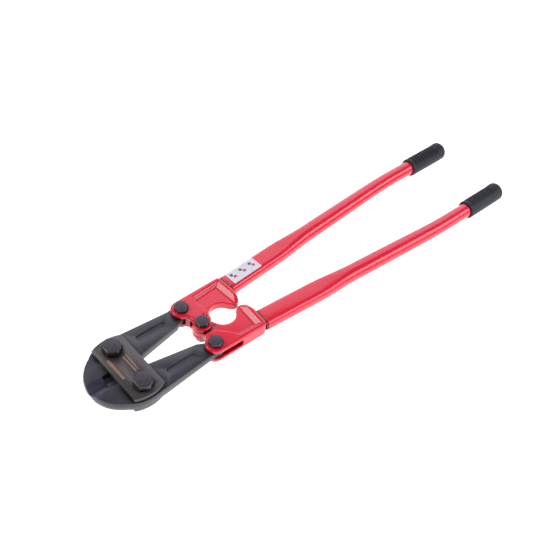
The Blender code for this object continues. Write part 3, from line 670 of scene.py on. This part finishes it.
rubber, tree, shader = new_material("moulded_rubber", 0.62)
where = add_node(tree, "ShaderNodeTexCoord").outputs["Object"]
dust = add_node(tree, "ShaderNodeTexNoise", inputs={"Vector": where, "Scale": 120, "Detail": 6,
                                                    "Roughness": 0.7}).outputs["Fac"]
grain = add_node(tree, "ShaderNodeTexNoise", inputs={"Vector": where, "Scale": 1800,
                                                     "Detail": 2}).outputs["Fac"]
tint = add_node(tree, "ShaderNodeMix", {"data_type": "RGBA"},
                {0: dust, 6: srgb("10111b"), 7: srgb("1f2230")}).outputs[2]
tree.links.new(tint, shader.inputs["Base Color"])
bump = add_node(tree, "ShaderNodeBump", inputs={"Height": grain, "Strength": 0.3, "Distance": 0.15 * MM})
tree.links.new(bump.outputs["Normal"], shader.inputs["Normal"])
shader.inputs["Sheen Weight"].default_value = 0.08
shader.inputs["Sheen Roughness"].default_value = 0.5

ribs = bpy.data.node_groups.new("finger_ribs", "GeometryNodeTree")
ribs.is_modifier = True
ribs.interface.new_socket("Sleeve", in_out="INPUT", socket_type="NodeSocketGeometry")
ribs.interface.new_socket("Count", in_out="INPUT", socket_type="NodeSocketInt")
for name in ("Pitch", "Rib Radius", "Arc Radius", "Arc Angle"):
    ribs.interface.new_socket(name, in_out="INPUT", socket_type="NodeSocketFloat")
for name in ("First Rib", "Turn"):
    ribs.interface.new_socket(name, in_out="INPUT", socket_type="NodeSocketVector")
ribs.interface.new_socket("Finish", in_out="INPUT", socket_type="NodeSocketMaterial")
ribs.interface.new_socket("Grip", in_out="OUTPUT", socket_type="NodeSocketGeometry")
given = add_node(ribs, "NodeGroupInput").outputs
step = add_node(ribs, "ShaderNodeCombineXYZ", inputs={"X": given["Pitch"]})
row = add_node(ribs, "GeometryNodeMeshLine", {"mode": "OFFSET"},
               {"Count": given["Count"], "Start Location": given["First Rib"], "Offset": step})
start = add_node(ribs, "ShaderNodeMath", {"operation": "MULTIPLY"}, (given["Arc Angle"], -0.5))
bow = add_node(ribs, "GeometryNodeCurveArc", {"mode": "RADIUS"},
               {"Resolution": 28, "Radius": given["Arc Radius"], "Start Angle": start,
                "Sweep Angle": given["Arc Angle"]})
bead = add_node(ribs, "GeometryNodeCurvePrimitiveCircle", {"mode": "RADIUS"},
                {"Resolution": 10, "Radius": given["Rib Radius"]})
rib = add_node(ribs, "GeometryNodeCurveToMesh", inputs={"Curve": bow, "Profile Curve": bead,
                                                        "Fill Caps": True})
rib = add_node(ribs, "GeometryNodeTransform", inputs={"Geometry": rib, "Rotation": given["Turn"]})
each = add_node(ribs, "GeometryNodeInstanceOnPoints", inputs={"Points": row, "Instance": rib})
real = add_node(ribs, "GeometryNodeRealizeInstances", inputs=(each,))
whole = add_node(ribs, "GeometryNodeJoinGeometry")
for part in (given["Sleeve"], real.outputs[0]):
    ribs.links.new(part, whole.inputs[0])
done = add_node(ribs, "GeometryNodeSetMaterial", inputs={"Geometry": whole, "Material": given["Finish"]})
add_node(ribs, "NodeGroupOutput", inputs=(done,))

MOUTH, END = 599 * MM, 700 * MM


def sleeve_ring(x, radius, axis, ribbed=0.0, change=0.0, points=64):
    """A ring about the grip's axis; its radius changes on the side at the angle ribbed."""
    ring = []
    for i in range(points):
        a = 2 * pi * i / points
        r = radius + change * max(0.0, cos(a - ribbed)) ** 0.5
        ring.append(PIVOT + Vector((x, axis + r * cos(a), r * sin(a))))
    return ring


# each sleeve sits turned on its tube as it was pushed on
for side, name, ribbed in ((1, "right", radians(72)), (-1, "left", radians(32))):
    axis = side * handle_axis(MOUTH)[0]
    # along the sleeve: place, radius, and how far the ribbed side stands off it
    outside = [(MOUTH, 16.4, 0), (MOUTH + 0.3 * MM, 17.0, 0), (MOUTH + 1.2 * MM, 17.7, 0),
               (MOUTH + 3 * MM, 18.0, 0), (MOUTH + 7 * MM, 18.0, -0.2), (MOUTH + 9 * MM, 18.0, -2.2)]
    outside += [(x * MM, 18.0, -2.2) for x in range(612, 680, 6)]
    outside += [(681 * MM, 17.9, -1.0), (684 * MM, 17.7, 0.5), (687 * MM, 17.7, 1.0), (691 * MM, 17.7, 1.0)]
    outside += [((691 + 9 * sin(a)) * MM, 8.7 + 9 * cos(a), cos(a)) for a in
                [radians(15 * i) for i in range(1, 6)]]
    rings = [sleeve_ring(x, r * MM, axis, ribbed, change * MM) for x, r, change in outside]
    rings += [sleeve_ring(END, r * MM, axis) for r in (8, 1)]
    bore = [sleeve_ring(TUBE_END + 0.5 * MM, r * MM, axis) for r in (1, 14.4)]
    bore += [sleeve_ring(MOUTH + 0.6 * MM, 14.4 * MM, axis), sleeve_ring(MOUTH, 15 * MM, axis)]
    sleeve = skinned("sleeve", list(reversed(rings)) + list(reversed(bore)), True)
    obj = grown("grip", sleeve, ribs, {
        "Count": 10, "Pitch": 7.0 * MM, "Rib Radius": 2.0 * MM, "Arc Radius": 16.0 * MM,
        "Arc Angle": radians(146), "Turn": (pi / 2, -ribbed, pi / 2),
        "First Rib": PIVOT + Vector((613.5 * MM, axis, 0)), "Finish": rubber})
    grip = evaluated(obj)
    add_piece("rubber_grip_" + name, grip, name + "_handle", ["grip_" + name], rubber)
